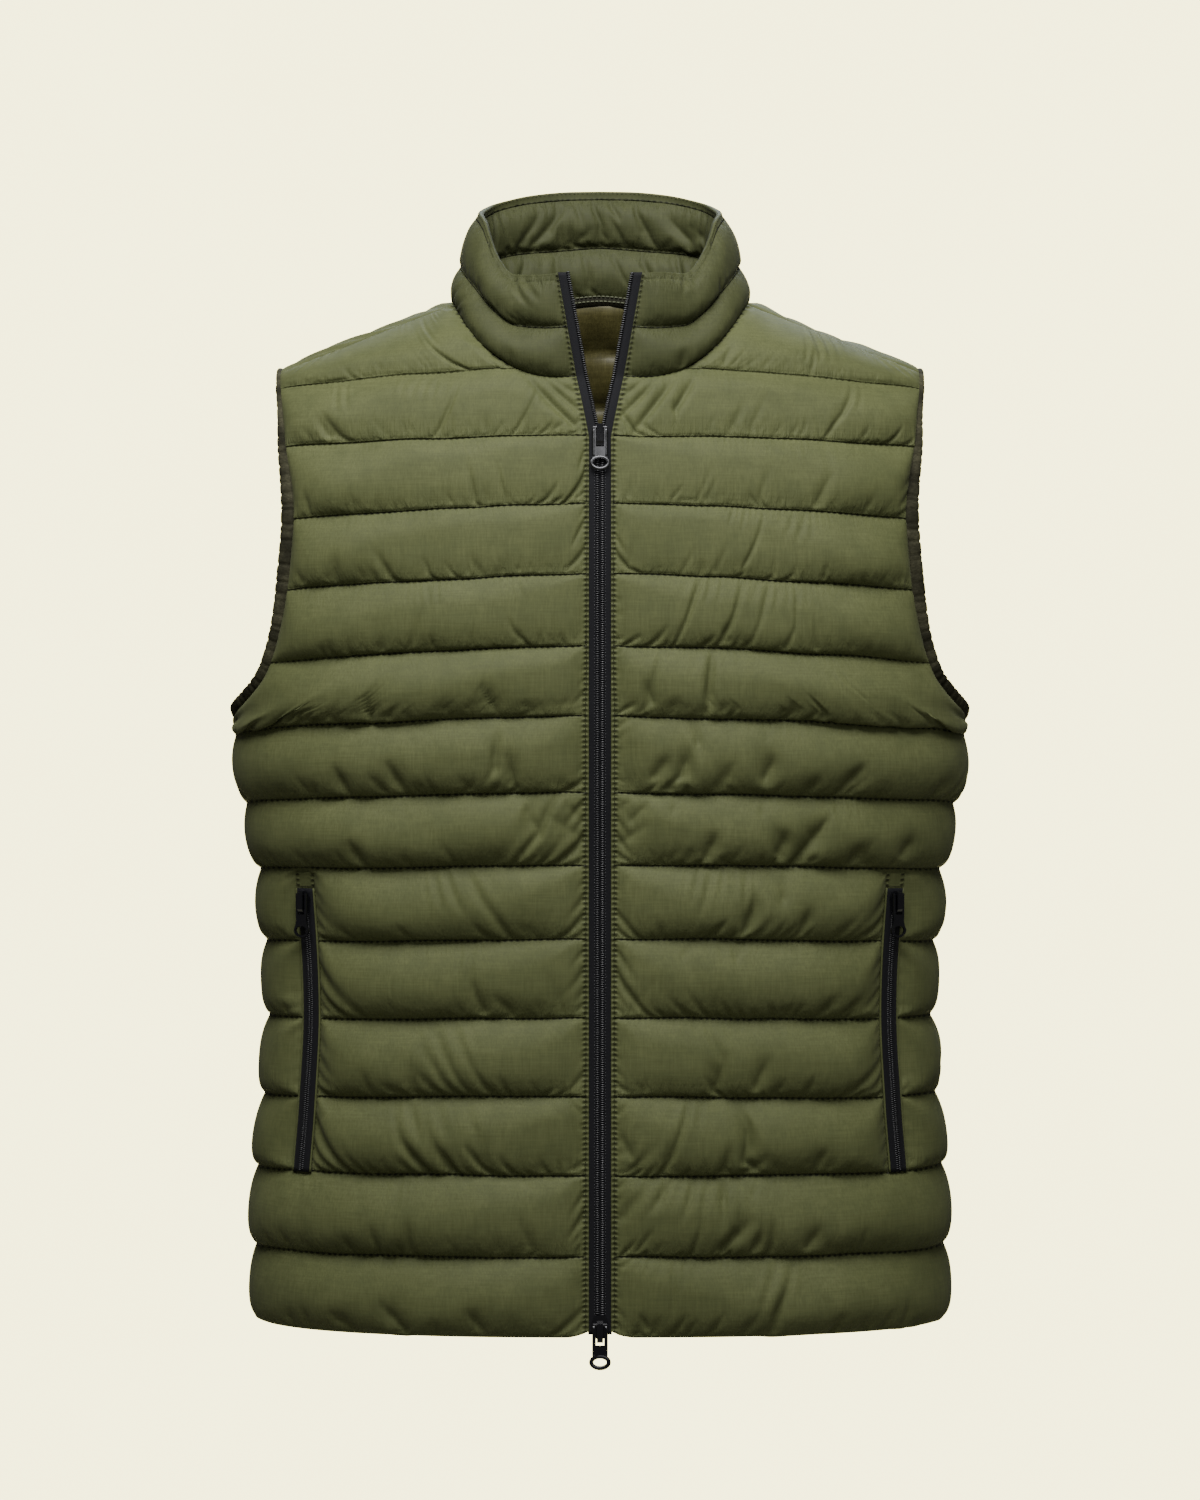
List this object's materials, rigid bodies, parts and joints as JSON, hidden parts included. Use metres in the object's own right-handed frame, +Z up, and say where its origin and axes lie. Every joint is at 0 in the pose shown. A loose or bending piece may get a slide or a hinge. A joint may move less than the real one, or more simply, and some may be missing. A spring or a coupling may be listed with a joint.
{
  "type": "quilted puffer vest",
  "caption": "Sleeveless padded vest, quilted across, with a stand collar, a two-way front zip and two upright zip pockets, filled out as when worn.",
  "frame": {"origin": "middle of the neck opening, level with the shoulders beside the neck, where the wearer's shoulders hold the vest", "axes": "+Z up; the wearer faces -Y and the wearer's left is +X"},
  "size_m": [0.5032, 0.2196, 0.7924],
  "materials": {
    "olive_shell": "light nylon with a soft sheen",
    "neck_tape": "woven tape",
    "armhole_binding": "gathered stretch binding",
    "zip_tape": "black woven zip tape with coils",
    "pull_metal": "gunmetal",
    "slider_black": "glossy black enamel"
  },
  "bodies": {
    "vest": {"back": "olive_shell", "front_left": "olive_shell", "front_right": "olive_shell", "collar": "olive_shell", "neck_tape": "neck_tape", "armhole_binding_left": "armhole_binding", "armhole_binding_right": "armhole_binding", "zip_tape_left": "zip_tape", "zip_tape_right": "zip_tape", "zip_slider_top": "slider_black", "zip_slider_bottom": "slider_black", "pocket_zip_left": "zip_tape", "pocket_zip_right": "zip_tape", "pocket_slider_left": "slider_black", "pocket_slider_right": "slider_black"},
    "top_pull": {"zip_pull_top": "pull_metal"},
    "bottom_pull": {"zip_pull_bottom": "slider_black"},
    "left_pocket_pull": {"pocket_pull_left": "slider_black"},
    "right_pocket_pull": {"pocket_pull_right": "slider_black"}
  },
  "joints": [
    {"name": "top_pull_hinge", "type": "hinge", "parent": "vest", "child": "top_pull", "pos_m": [0, -0.09281, -0.089], "axis": [-1, 0, 0], "range_deg": [0, 170]},
    {"name": "bottom_pull_hinge", "type": "hinge", "parent": "vest", "child": "bottom_pull", "pos_m": [0, -0.10592, -0.67378], "axis": [-1, 0, 0], "range_deg": [0, 170]},
    {"name": "left_pocket_pull_hinge", "type": "hinge", "parent": "vest", "child": "left_pocket_pull", "pos_m": [0.19732, -0.06661, -0.3955], "axis": [-0.8257, -0.5641, 0], "range_deg": [0, 120]},
    {"name": "right_pocket_pull_hinge", "type": "hinge", "parent": "vest", "child": "right_pocket_pull", "pos_m": [-0.19732, -0.06661, -0.3955], "axis": [-0.8257, 0.5641, 0], "range_deg": [0, 120]}
  ]
}
